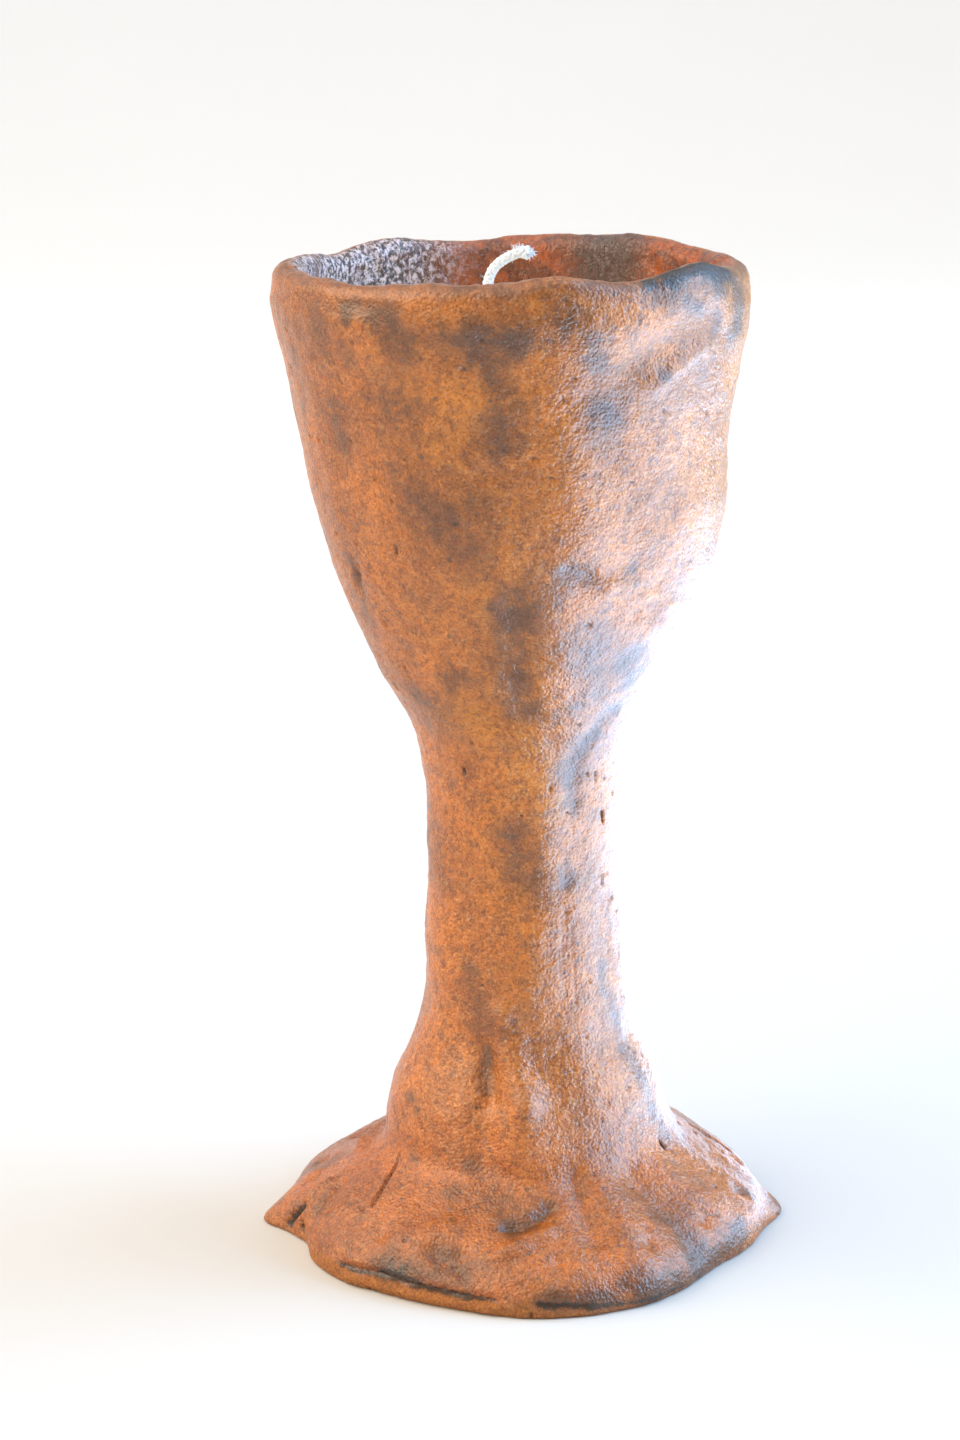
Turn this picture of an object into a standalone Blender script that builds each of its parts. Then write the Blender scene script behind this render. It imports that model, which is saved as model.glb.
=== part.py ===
"""Hand-built stoneware goblet, poured as a candle.

Metres, +Z up. The origin is on the table under the middle of the foot, and the front of the goblet
faces -Y. The bowl, stem and foot are clay members that were joined with slip. Inside the bowl are the
wax, the wick and the tab and sticker that hold the wick's lower end.
"""
import math

import bpy

MM = 0.001

# Driving dimensions
LIP_HEIGHT = 181.0 * MM          # mean height of the lip, before its waves
LIP_ROUNDING = 2.7 * MM
BOWL_JOINT = 97.0 * MM           # bowl stands on the stem here
FOOT_JOINT = 39.0 * MM           # stem stands on the foot here
STEM_WALL = 6.5 * MM
FOOT_WALL = 4.6 * MM
BOWL_FLOOR = 106.0 * MM
WAX_LEVEL = 172.0 * MM
WICK_DIAMETER = 1.6 * MM
TAB_DIAMETER = 12.5 * MM
TAB_THICKNESS = 0.3 * MM
TAB_NECK_DIAMETER = 3.0 * MM
TAB_NECK_HEIGHT = 3.2 * MM
STICKER_DIAMETER = 12.0 * MM
STICKER_THICKNESS = 0.8 * MM
GAP = 0.3 * MM                   # between pieces that touch
TURN_STEPS = 60
SMALL_TURN_STEPS = 32            # for the tab and the sticker
LIP_STEPS = 6                    # faces across the rounding of the lip
SHARP_ANGLE = math.radians(50.0)
MERGE_DISTANCE = 0.01 * MM

# Outer wall of the clay from the table to the lip: height, radius and sideways lean, in mm
OUTLINE = (
    (0.0, 45.2, 0.0), (3.0, 45.2, 0.0), (6.5, 43.6, 0.1), (10.0, 39.6, 0.4), (13.5, 33.8, 0.9),
    (17.5, 28.6, 1.1), (22.5, 26.6, 0.3), (28.0, 25.1, 0.1), (33.5, 22.8, 0.2), (39.0, 20.4, -0.1),
    (45.0, 19.3, 0.1), (53.0, 18.8, -0.2), (61.0, 18.2, -0.7), (72.0, 17.5, -1.0), (83.0, 18.1, -0.6),
    (90.5, 18.9, -0.6), (97.0, 20.4, -0.4), (101.5, 22.5, -0.6), (107.0, 25.6, -1.1), (115.0, 29.2, -1.2),
    (122.0, 32.3, -1.0), (130.0, 35.1, -1.1), (138.5, 37.1, -1.5), (150.0, 38.6, -2.3), (163.0, 40.6, -2.7),
    (174.0, 42.6, -3.0), (178.3, 42.3, -2.9), (184.0, 42.0, -2.8),
)

# Inside of the bowl from its floor upwards: height and radius, in mm
BOWL_INSIDE = (
    (106.0, 9.0), (107.4, 13.5), (110.5, 18.4), (115.0, 22.6), (122.0, 26.4), (130.0, 29.5),
    (142.0, 32.1), (156.0, 34.2), (172.0, 37.1),
)

# Where fingers pushed the wall in or pulled it out, in degrees around +Z from +X and in mm:
# angle, height, push, half angle, half height
HAND_MARKS = (
    (-82.0, 0.0, 4.0, 26.0, 14.0), (96.0, 0.0, 4.0, 34.0, 14.0), (183.0, 0.0, 4.7, 6.0, 3.6),
    (3.0, 0.0, 4.0, 9.0, 3.2), (200.0, 0.0, -1.8, 6.0, 9.0), (221.0, 0.0, 1.4, 10.0, 8.0),
    (-36.0, 0.0, -2.0, 14.0, 9.0), (154.0, 13.5, -5.2, 30.0, 5.5),
    (-93.0, 27.0, 1.4, 10.0, 11.0), (-108.0, 24.0, -1.2, 8.0, 10.0), (-78.0, 150.0, 0.8, 10.0, 36.0),
    (-48.0, 152.0, -0.9, 17.0, 28.0), (-116.0, 150.0, -0.7, 20.0, 32.0), (-40.0, 119.0, 0.8, 18.0, 3.5),
)

# Waves of the lip: angle in degrees, lift in mm, half angle in degrees
LIP_WAVES = (
    (-37.0, 2.5, 17.0), (-79.0, 1.6, 11.0), (-137.0, -0.8, 25.0), (52.0, 1.5, 14.0),
    (79.0, 0.8, 12.0), (122.0, 0.9, 11.0), (146.0, -1.0, 8.0),
)
LIP_WAVE_DEPTH = 9.0 * MM        # the waves fade out this far below the lip
CORE_RADIUS = 15.0 * MM          # nearer the axis than this, the hand marks fade out

# Top of the wax
WICK_MENISCUS = 0.4 * MM         # rise of the wax at the wick
WICK_MENISCUS_WIDTH = 1.5 * MM
WALL_MENISCUS_WIDTH = 2.5 * MM
WAX_DISH = 0.3 * MM              # how far the wax sinks between the wick and the wall
BORE_ZONE = 7.0 * MM             # the wax nearer the wick than this follows the wick
BLEND_ZONE = 6.0 * MM            # and over this distance it goes over to following the wall
BORE_LEVELS = 4

# Middle of the wick from the tab upwards: x and height, in mm
WICK_ROUTE = (
    (-2.0, 107.4), (-2.0, 111.2), (-4.6, 142.0), (-7.2, 172.0), (-7.5, 174.6), (-7.1, 177.0),
    (-6.4, 179.2), (-5.0, 180.8), (-3.0, 182.0), (-1.2, 182.6), (0.4, 182.5),
)
WICK_POINTS = 34


def smooth_value(stations, place, column):
    """Smooth curve through a column of the stations, read at a place along their first column."""
    last = len(stations) - 2
    index = 0
    while index < last and place > stations[index + 1][0]:
        index += 1
    start = stations[index]
    end = stations[index + 1]
    before = stations[max(index - 1, 0)]
    after = stations[min(index + 2, last + 1)]
    span = end[0] - start[0]
    start_slope = (end[column] - before[column]) / (end[0] - before[0])
    end_slope = (after[column] - start[column]) / (after[0] - start[0])
    t = min(max((place - start[0]) / span, 0.0), 1.0)
    t2 = t * t
    t3 = t2 * t
    return ((2.0 * t3 - 3.0 * t2 + 1.0) * start[column] + (t3 - 2.0 * t2 + t) * span * start_slope
            + (3.0 * t2 - 2.0 * t3) * end[column] + (t3 - t2) * span * end_slope)


def outer_radius(height):
    return smooth_value(OUTLINE, height / MM, 1) * MM


def lean(height):
    return smooth_value(OUTLINE, height / MM, 2) * MM


def ease(t):
    t = min(max(t, 0.0), 1.0)
    return t * t * (3.0 - 2.0 * t)


def angle_bump(angle, middle, half_width):
    """1 at the middle angle, fading to both sides of it; all in degrees."""
    away = (angle - middle + 180.0) % 360.0 - 180.0
    return math.exp(-(away / half_width) ** 2)


def hand_push(angle, height):
    """How far the hand marks move the wall outwards at this angle and height."""
    push = 0.0
    for middle, level, amount, half_angle, half_height in HAND_MARKS:
        fade = math.exp(-((height / MM - level) / half_height) ** 2)
        push += amount * MM * angle_bump(angle, middle, half_angle) * fade
    return push


def lip_lift(angle, height):
    """How far the waves of the lip raise a point at this angle and height."""
    reach = ease((height - LIP_HEIGHT + LIP_WAVE_DEPTH) / LIP_WAVE_DEPTH)
    return reach * sum(lift * MM * angle_bump(angle, middle, width) for middle, lift, width in LIP_WAVES)


def hand_shape(point):
    """Move a point of the evenly turned clay to where hand-building left it."""
    radius = math.hypot(point.x, point.y)
    turn = math.atan2(point.y, point.x)
    angle = math.degrees(turn)
    height = point.z
    radius += hand_push(angle, height) * ease(radius / CORE_RADIUS)
    point.x = lean(height) + radius * math.cos(turn)
    point.y = radius * math.sin(turn)
    point.z = height + lip_lift(angle, height)


def wick_x(height):
    return smooth_value([(z, x) for x, z in WICK_ROUTE[:5]], height / MM, 1) * MM


def wax_shape(point):
    """Move a point of the evenly turned wax: its wall follows the bowl and its bore follows the wick."""
    bore_x = wick_x(point.z) + point.x
    radius = math.hypot(point.x, point.y)
    own_y = point.y
    hand_shape(point)
    share = ease((radius - BORE_ZONE) / BLEND_ZONE)
    point.x = bore_x + (point.x - bore_x) * share
    point.y = own_y + (point.y - own_y) * share


def offset_inwards(outline, thickness):
    """The points of an outline that runs downwards, moved square to it towards the axis."""
    moved = []
    for index, (radius, height) in enumerate(outline):
        above = outline[max(index - 1, 0)]
        below = outline[min(index + 1, len(outline) - 1)]
        run = below[0] - above[0]
        fall = above[1] - below[1]
        length = math.hypot(run, fall)
        moved.append((radius - thickness * fall / length, height - thickness * run / length))
    return moved


def outer_points(top, bottom, heights):
    """Outer wall from top to bottom, with a point at each of the heights between them, in mm."""
    between = [height * MM for height in heights if bottom < height * MM < top]
    return [(outer_radius(height), height) for height in [top] + sorted(between, reverse=True) + [bottom]]


def material(name, colour, roughness, metallic=0.0):
    made = bpy.data.materials.new(name)
    made.use_nodes = True
    shader = made.node_tree.nodes["Principled BSDF"]
    shader.inputs["Base Color"].default_value = (*colour, 1.0)
    shader.inputs["Roughness"].default_value = roughness
    shader.inputs["Metallic"].default_value = metallic
    return made


def evaluated_mesh(source):
    """Mesh of an object with its modifiers or bevel applied."""
    graph = bpy.context.evaluated_depsgraph_get()
    return bpy.data.meshes.new_from_object(source.evaluated_get(graph), depsgraph=graph)


def place(mesh, name, collection, finish):
    mesh.name = name
    mesh.materials.clear()
    mesh.materials.append(finish)
    mesh.shade_smooth()
    mesh.set_sharp_from_angle(angle=SHARP_ANGLE)
    piece = bpy.data.objects.new(name, mesh)
    collection.objects.link(piece)
    return piece


def turned(name, profile, collection, finish, shape=None, closed=True, steps=TURN_STEPS):
    """Turn a profile of (radius, height) points about +Z, then let shape move each of its points.

    A closed profile is a ring's section. An open one starts and ends on the axis.
    """
    line = bpy.data.meshes.new(name + "_profile")
    count = len(profile)
    edges = [(index, index + 1) for index in range(count - 1)]
    if closed:
        edges.append((count - 1, 0))
    line.from_pydata([(radius, 0.0, height) for radius, height in profile], edges, [])
    guide = bpy.data.objects.new(name + "_profile", line)
    collection.objects.link(guide)
    screw = guide.modifiers.new("turn", "SCREW")
    screw.steps = steps
    screw.render_steps = steps
    screw.use_merge_vertices = True
    screw.merge_threshold = MERGE_DISTANCE
    mesh = evaluated_mesh(guide)
    bpy.data.objects.remove(guide)
    bpy.data.meshes.remove(line)
    if shape:
        for vertex in mesh.vertices:
            shape(vertex.co)
    return place(mesh, name, collection, finish)


def make_foot(collection, finish):
    """Flared skirt of slab clay, hollow underneath, standing on the flat edge of the slab."""
    top = FOOT_JOINT - GAP / 2.0
    outer = outer_points(top, 0.0, (1.0, 3.5, 6.0, 8.5, 11.0, 14.0, 18.0, 23.0, 28.0, 33.5))
    inner = offset_inwards(outer[:-2], FOOT_WALL)
    inner[0] = (outer[0][0] - STEM_WALL, top)
    edge = outer[-1][0] - FOOT_WALL
    profile = outer + [(edge, 0.0)] + inner[::-1]
    return turned("foot", profile, collection, finish, hand_shape)


def make_stem(collection, finish):
    """Rolled tube of clay between the foot and the bowl."""
    outer = outer_points(BOWL_JOINT - GAP / 2.0, FOOT_JOINT + GAP / 2.0, (45.0, 53.0, 61.0, 72.0, 83.0, 90.5))
    inner = [(radius - STEM_WALL, height) for radius, height in outer]
    return turned("stem", outer + inner[::-1], collection, finish, hand_shape)


def make_bowl(collection, finish):
    """Pinched cup with a rounded lip and a thick floor."""
    wall_top = LIP_HEIGHT - LIP_ROUNDING
    lip_middle = outer_radius(wall_top) - LIP_ROUNDING
    lip = []
    for index in range(LIP_STEPS + 1):
        turn = math.pi * index / LIP_STEPS
        lip.append((lip_middle - LIP_ROUNDING * math.cos(turn), wall_top + LIP_ROUNDING * math.sin(turn)))
    levels = (101.5, 107.0, 111.0, 115.0, 122.0, 130.0, 138.5, 150.0, 163.0, 171.0, 175.0)
    outer = outer_points(wall_top, BOWL_JOINT + GAP / 2.0, levels)
    inside = [(radius * MM, height * MM) for height, radius in BOWL_INSIDE]
    profile = [(0.0, BOWL_FLOOR)] + inside + lip + outer[1:] + [(0.0, BOWL_JOINT + GAP / 2.0)]
    return turned("bowl", profile, collection, finish, hand_shape, closed=False)


def make_wax(collection, finish):
    """Poured wax, with a slight rise at the wall and at the wick, bored for the wick and its tab."""
    bore = WICK_DIAMETER / 2.0 + GAP
    tab_top = BOWL_FLOOR + STICKER_THICKNESS + TAB_THICKNESS + 3.0 * GAP
    neck_top = tab_top + TAB_NECK_HEIGHT
    tab_room = TAB_DIAMETER / 2.0 + GAP
    neck_room = TAB_NECK_DIAMETER / 2.0 + GAP
    wall = [(radius * MM - GAP, height * MM) for height, radius in BOWL_INSIDE[1:]]
    floor = BOWL_FLOOR + GAP
    top_edge = wall[-1][0]
    surface = [(bore, WAX_LEVEL + WICK_MENISCUS), (bore + WICK_MENISCUS_WIDTH, WAX_LEVEL),
               (0.5 * top_edge, WAX_LEVEL - WAX_DISH), (top_edge - WALL_MENISCUS_WIDTH, WAX_LEVEL - 0.7 * WAX_DISH)]
    wall[-1] = (top_edge, WAX_LEVEL)
    below = [(BOWL_INSIDE[0][1] * MM - GAP, floor), (tab_room, floor), (tab_room, tab_top),
             (neck_room, tab_top), (neck_room, neck_top), (bore, neck_top)]
    levels = [neck_top + (WAX_LEVEL - neck_top) * index / BORE_LEVELS for index in range(1, BORE_LEVELS)]
    bore_wall = [(bore, height) for height in levels]
    return turned("wax_fill", surface + wall[::-1] + below + bore_wall, collection, finish, wax_shape)


def move_to_wick_foot(point):
    point.x += WICK_ROUTE[0][0] * MM


def make_sticker(collection, finish):
    """Disc of foam adhesive that holds the tab to the floor of the bowl."""
    low = BOWL_FLOOR + GAP
    high = low + STICKER_THICKNESS
    radius = STICKER_DIAMETER / 2.0
    profile = [(0.0, high), (radius, high), (radius, low), (0.0, low)]
    return turned("wick_sticker", profile, collection, finish, move_to_wick_foot, False, SMALL_TURN_STEPS)


def make_tab(collection, finish):
    """Pressed metal disc with a neck that is crimped around the wick."""
    low = BOWL_FLOOR + STICKER_THICKNESS + 2.0 * GAP
    high = low + TAB_THICKNESS
    bore = WICK_DIAMETER / 2.0 + GAP
    neck = TAB_NECK_DIAMETER / 2.0
    profile = [(neck, high + TAB_NECK_HEIGHT), (neck, high + 0.5 * MM), (neck + 0.5 * MM, high),
               (TAB_DIAMETER / 2.0, high), (TAB_DIAMETER / 2.0, low), (bore, low), (bore, high + TAB_NECK_HEIGHT)]
    return turned("wick_tab", profile, collection, finish, move_to_wick_foot, True, SMALL_TURN_STEPS)


def make_wick(collection, finish):
    """Braided cotton wick, drawn as a plain tube along its route."""
    route = bpy.data.curves.new("wick_route", "CURVE")
    route.dimensions = "3D"
    route.bevel_depth = WICK_DIAMETER / 2.0
    route.bevel_resolution = 2
    route.use_fill_caps = True
    spline = route.splines.new("POLY")
    spline.points.add(WICK_POINTS - 1)
    stations = [(float(index), *point) for index, point in enumerate(WICK_ROUTE)]
    for index, point in enumerate(spline.points):
        along = (len(WICK_ROUTE) - 1) * index / (WICK_POINTS - 1)
        point.co = (smooth_value(stations, along, 1) * MM, 0.0, smooth_value(stations, along, 2) * MM, 1.0)
    wick = bpy.data.objects.new("wick", route)
    wick.data.materials.append(finish)
    collection.objects.link(wick)
    return wick


def main():
    for leftover in list(bpy.data.objects):
        bpy.data.objects.remove(leftover)
    collection = bpy.data.collections.new("goblet_candle")
    bpy.context.scene.collection.children.link(collection)
    make_foot(collection, material("foot_stoneware", (0.43, 0.19, 0.08), 0.50))
    make_stem(collection, material("stem_stoneware", (0.45, 0.20, 0.08), 0.50))
    make_bowl(collection, material("bowl_stoneware", (0.42, 0.19, 0.09), 0.45))
    make_wax(collection, material("wax", (0.86, 0.80, 0.68), 0.45))
    make_sticker(collection, material("sticker_foam", (0.85, 0.85, 0.83), 0.70))
    make_tab(collection, material("tab_tin", (0.72, 0.72, 0.74), 0.35, 1.0))
    make_wick(collection, material("cotton", (0.88, 0.88, 0.87), 0.90))


main()
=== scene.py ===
"""Looks of the hand-built stoneware goblet candle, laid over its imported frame.

The clay members are turned from the same outline as the frame's, moved by the same hand marks, and
then given the finer marks of the hand, the tool and the kiln. Lengths are in mm and angles in degrees,
but for the floor and the lights, which are in metres.
"""
import math

import bpy
import numpy as np
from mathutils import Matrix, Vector


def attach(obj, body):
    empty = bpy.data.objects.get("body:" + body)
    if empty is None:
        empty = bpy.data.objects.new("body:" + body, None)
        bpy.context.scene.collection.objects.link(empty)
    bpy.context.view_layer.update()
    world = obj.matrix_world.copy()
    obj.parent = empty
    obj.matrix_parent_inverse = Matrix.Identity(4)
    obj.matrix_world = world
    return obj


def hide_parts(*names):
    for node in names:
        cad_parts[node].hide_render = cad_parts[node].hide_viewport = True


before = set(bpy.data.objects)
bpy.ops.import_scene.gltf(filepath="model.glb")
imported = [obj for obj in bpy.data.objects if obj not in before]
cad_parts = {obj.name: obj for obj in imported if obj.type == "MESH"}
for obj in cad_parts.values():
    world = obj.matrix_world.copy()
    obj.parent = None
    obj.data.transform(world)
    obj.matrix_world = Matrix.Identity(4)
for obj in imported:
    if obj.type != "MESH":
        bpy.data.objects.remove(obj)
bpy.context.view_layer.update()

MM = 0.001

# ---------------------------------------------------------------- the frame's own shape, in mm
LIP_HEIGHT = 181.0
LIP_ROUNDING = 2.7
BOWL_JOINT = 97.0
FOOT_JOINT = 39.0
STEM_WALL = 6.5
FOOT_WALL = 4.6
WAX_LEVEL = 172.0
LIP_WAVE_DEPTH = 9.0
CORE_RADIUS = 15.0

# height, radius, sideways lean
OUTLINE = np.array((
    (0.0, 45.2, 0.0), (3.0, 45.2, 0.0), (6.5, 43.6, 0.1), (10.0, 39.6, 0.4), (13.5, 33.8, 0.9),
    (17.5, 28.6, 1.1), (22.5, 26.6, 0.3), (28.0, 25.1, 0.1), (33.5, 22.8, 0.2), (39.0, 20.4, -0.1),
    (45.0, 19.3, 0.1), (53.0, 18.8, -0.2), (61.0, 18.2, -0.7), (72.0, 17.5, -1.0), (83.0, 18.1, -0.6),
    (90.5, 18.9, -0.6), (97.0, 20.4, -0.4), (101.5, 22.5, -0.6), (107.0, 25.6, -1.1), (115.0, 29.2, -1.2),
    (122.0, 32.3, -1.0), (130.0, 35.1, -1.1), (138.5, 37.1, -1.5), (150.0, 38.6, -2.3), (163.0, 40.6, -2.7),
    (174.0, 42.6, -3.0), (178.3, 42.3, -2.9), (184.0, 42.0, -2.8),
))
# height, radius
BOWL_INSIDE = np.array((
    (106.0, 9.0), (107.4, 13.5), (110.5, 18.4), (115.0, 22.6), (122.0, 26.4), (130.0, 29.5),
    (142.0, 32.1), (156.0, 34.2), (172.0, 37.1),
))
# angle, height, push, half angle, half height
HAND_MARKS = (
    (-82.0, 0.0, 4.0, 26.0, 14.0), (96.0, 0.0, 4.0, 34.0, 14.0), (183.0, 0.0, 4.7, 6.0, 3.6),
    (3.0, 0.0, 4.0, 9.0, 3.2), (200.0, 0.0, -1.8, 6.0, 9.0), (221.0, 0.0, 1.4, 10.0, 8.0),
    (-36.0, 0.0, -2.0, 14.0, 9.0), (154.0, 13.5, -5.2, 30.0, 5.5),
    (-93.0, 27.0, 1.4, 10.0, 11.0), (-108.0, 24.0, -1.2, 8.0, 10.0), (-78.0, 150.0, 0.8, 10.0, 36.0),
    (-48.0, 152.0, -0.9, 17.0, 28.0), (-116.0, 150.0, -0.7, 20.0, 32.0), (-40.0, 119.0, 0.8, 18.0, 3.5),
)
# angle, lift, half angle
LIP_WAVES = (
    (-37.0, 2.5, 17.0), (-79.0, 1.6, 11.0), (-137.0, -0.8, 25.0), (52.0, 1.5, 14.0),
    (79.0, 0.8, 12.0), (122.0, 0.9, 11.0), (146.0, -1.0, 8.0),
)
# x, height
WICK_ROUTE = np.array((
    (-2.0, 107.4), (-2.0, 111.2), (-4.6, 142.0), (-7.2, 172.0), (-7.5, 174.6), (-7.1, 177.0),
    (-6.4, 179.2), (-5.0, 180.8), (-3.0, 182.0), (-1.2, 182.6), (0.4, 182.5),
))
WICK_EXIT = 110.9
JOINT_OVERLAP = 0.9              # how far the members run on inside each other
TUCK = 0.12

# ---------------------------------------------------------------- the finer marks
# Each stroke is: rise, half width, places (angle, height) along it on the outer wall.
STROKES = (
    # bowl: fold on the lower right, dent on the left, pinched hollows
    (0.3, 1.5, ((-64, 128.6), (-59, 128.4), (-54, 125.8))),
    (0.4, 1.2, ((-50, 125.6), (-45, 125.2), (-40, 122.8))),
    (0.25, 1.4, ((-36, 123), (-28, 121.6), (-22, 121.4))),
    (-0.25, 1.3, ((-61, 125.8), (-56, 125.6), (-52, 122.9))), (-0.25, 1.1, ((-46, 122.0), (-41, 120.2))),
    (-0.5, 1.3, ((-147, 129), (-148.5, 125.6))),
    (-0.5, 3.0, ((-129, 179), (-124, 177), (-119, 174))),
    (0.4, 2.5, ((-121, 179), (-116, 177))),
    (0.7, 2.0, ((-54, 163), (-47, 166), (-38, 169))),
    (-0.9, 4.0, ((-60, 168), (-47, 171), (-36, 173))),
    (0.9, 3.5, ((-47, 179), (-39, 178), (-31, 176))),
    (-0.6, 3.0, ((-93, 125), (-92, 115), (-91, 107))),
    (-0.5, 2.0, ((-47, 102), (-56, 98), (-62, 94), (-61, 86))),
    (-0.6, 1.6, ((-77, 131.5), (-71, 130))),
    (0.5, 5.0, ((-72, 150), (-70, 138))),
    (-0.5, 6.0, ((-100, 170), (-96, 158), (-93, 150))),
    (-0.5, 5.0, ((-68, 160), (-66, 152))),
    # bowl: back and sides
    (-0.9, 6.0, ((95, 165), (88, 150))), (0.7, 5.0, ((60, 160), (66, 140))),
    (-0.8, 5.0, ((140, 158), (150, 140))), (0.6, 2.0, ((110, 128), (128, 124), (146, 126))),
    (-0.5, 1.6, ((111, 125.5), (128, 121.8), (140, 123))), (-0.6, 4.0, ((25, 150), (18, 132))),
    (-0.7, 3.0, ((72, 112), (80, 104), (84, 96))),
    # stem
    (-0.16, 0.35, ((-67, 64), (-68.5, 50))), (-0.14, 0.35, ((-64.5, 66), (-65.5, 52))),
    (-0.16, 0.35, ((-61.5, 62), (-62.5, 48))), (-0.12, 0.35, ((-70, 60), (-71, 53))),
    (-0.3, 2.6, ((-95, 80), (-93, 71))), (-0.3, 1.2, ((-64, 72.5), (-63, 70))),
    (0.5, 3.5, ((-80, 92), (-76, 80), (-82, 62), (-86, 50))),
    (-0.5, 5.0, ((-120, 75), (-118, 58))), (-0.5, 4.0, ((-35, 66), (-38, 52))),
    (0.6, 4.0, ((60, 85), (68, 65), (62, 48))), (-0.7, 4.0, ((100, 88), (104, 60))),
    (-0.6, 5.0, ((150, 80), (156, 52))),
    # foot: thumb ridge and valley, folds of the skirt, edge of the slab
    (1.4, 2.8, ((-104, 46), (-98, 39), (-90, 31))),
    (-0.8, 2.0, ((-112, 40), (-110, 35), (-107, 31))),
    (0.9, 0.9, ((-166, 10.5), (-165, 7.4))), (-1.0, 1.4, ((-161, 11), (-159.5, 8), (-158, 6))),
    (1.7, 2.0, ((166, 13.4), (176, 13.2))), (-0.9, 1.6, ((172, 8.6), (-176, 8.8))),
    (-1.1, 1.5, ((-96, 12.4), (-90, 13.2), (-85, 14.6))), (0.9, 1.7, ((-99, 8.8), (-92, 10.8), (-86, 12.0))),
    (-1.0, 1.6, ((-114, 8.4), (-105, 6.4))), (0.8, 2.6, ((-124, 9), (-113, 11))),
    (1.2, 4.0, ((-66, 16), (-64, 10), (-62, 5))), (-1.2, 3.0, ((-51, 17), (-48, 11), (-46, 6))),
    (1.0, 3.5, ((-36, 16), (-30, 10))), (-0.9, 2.4, ((-75, 18), (-74, 11))),
    (-0.8, 0.7, ((-136, 3.2), (-125, 3.6), (-117, 3.1), (-107, 2.9), (-97, 2.9))),
    (-0.6, 0.6, ((-88, 2.5), (-78, 1.9))), (0.5, 1.0, ((-134, 1.6), (-117, 1.6), (-98, 1.5))),
    # foot: back and sides
    (1.1, 4.0, ((120, 16), (124, 8))), (-1.3, 3.5, ((104, 17), (100, 9))), (1.0, 4.0, ((80, 15), (78, 6))),
    (-1.2, 3.0, ((62, 18), (58, 10))), (0.9, 3.5, ((40, 16), (36, 7))), (-1.0, 3.0, ((142, 18), (146, 9))),
    (-0.8, 0.7, ((40, 3.4), (70, 3.0), (100, 3.5), (130, 3.1))),
)

# Splits and holes in the clay, with painted shade inside: rise, half width, places
CRACKS = (
    (-0.25, 0.3, ((-57, 126.2), (-55.5, 125.4))), (-0.25, 0.3, ((-49, 123.6), (-47.5, 123.8))),
    (-0.6, 0.4, ((-147.5, 128.0), (-148, 126.4))),
    (-1.8, 0.3, ((-37.5, 82.4), (-36, 81.5), (-35.4, 80.6))), (-1.1, 0.3, ((-124.5, 91.8), (-123.7, 91.0))),
    (-1.0, 0.3, ((-150, 17.6), (-146, 15), (-140, 11.4))),
    (-2.8, 0.7, ((-165.5, 6.4), (-167, 4), (-168.5, 1.8))), (-2.0, 0.6, ((-162.5, 2.8), (-162, 2.4))),
    (-2.2, 0.5, ((-28, 19.2), (-27.6, 18.7))), (-0.4, 0.3, ((-27.4, 20.4), (-28, 19), (-25, 17.6))),
    (-0.7, 0.3, ((-24, 11.6), (-23.2, 11.2))), (-0.7, 0.3, ((-14.5, 9.2), (-13.8, 8.6))),
    (-0.6, 0.28, ((-36.4, 10.4), (-34, 9.0), (-32, 8.4))), (-0.5, 0.3, ((-58, 10.8), (-58, 10.2))),
    (-1.0, 0.6, ((37, 137), (35, 134))), (-0.9, 0.5, ((112, 125), (128, 121.8))),
    (-1.2, 0.5, ((128, 73), (129, 70))), (-1.2, 0.5, ((88, 13), (94, 8), (93, 5))),
    (-1.5, 0.6, ((20, 14), (14, 10))),
)

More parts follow.
